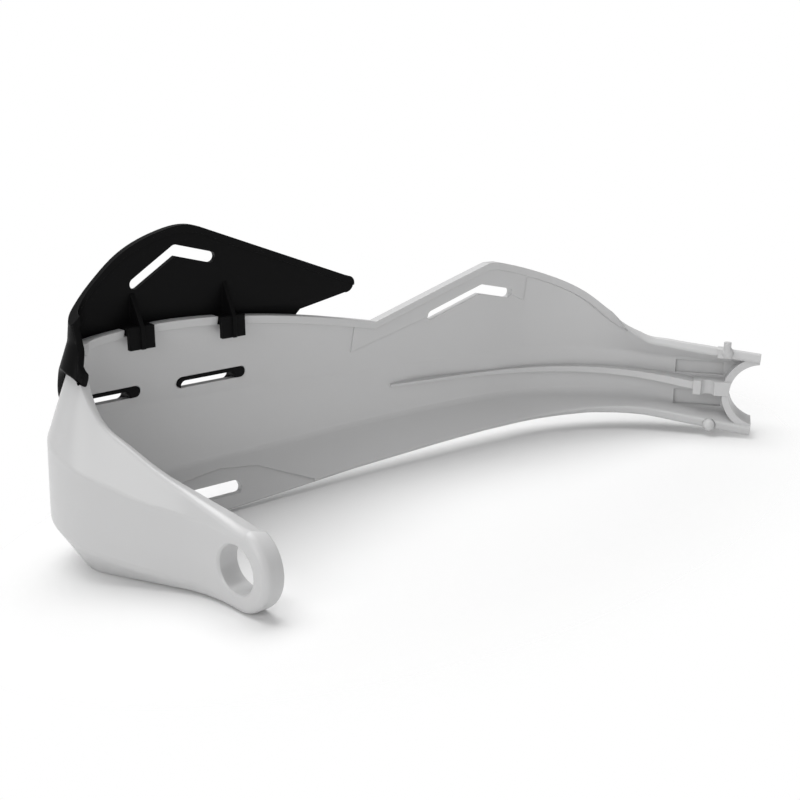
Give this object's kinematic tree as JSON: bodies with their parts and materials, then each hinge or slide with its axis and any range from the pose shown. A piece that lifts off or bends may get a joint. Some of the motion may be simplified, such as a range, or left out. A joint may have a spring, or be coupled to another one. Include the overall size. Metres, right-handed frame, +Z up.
{
  "type": "motorcycle hand guard",
  "caption": "Full-wrap left hand guard for an off-road motorcycle: light moulded shield from bar end to handlebar saddle, with a dark clip-on wind deflector.",
  "frame": {"origin": "on the axis of the bar-end hole, where its rounded outer rim ends", "axes": "+X inboard along the bar-end bore, +Y forward of the bar, +Z up"},
  "size_m": [0.334, 0.1342, 0.1214],
  "materials": {
    "shield_plastic": "satin gloss, light grey-white",
    "deflector_plastic": "fine satin, black"
  },
  "bodies": {
    "root": {"shield": "shield_plastic", "deflector": "deflector_plastic"}
  },
  "joints": []
}
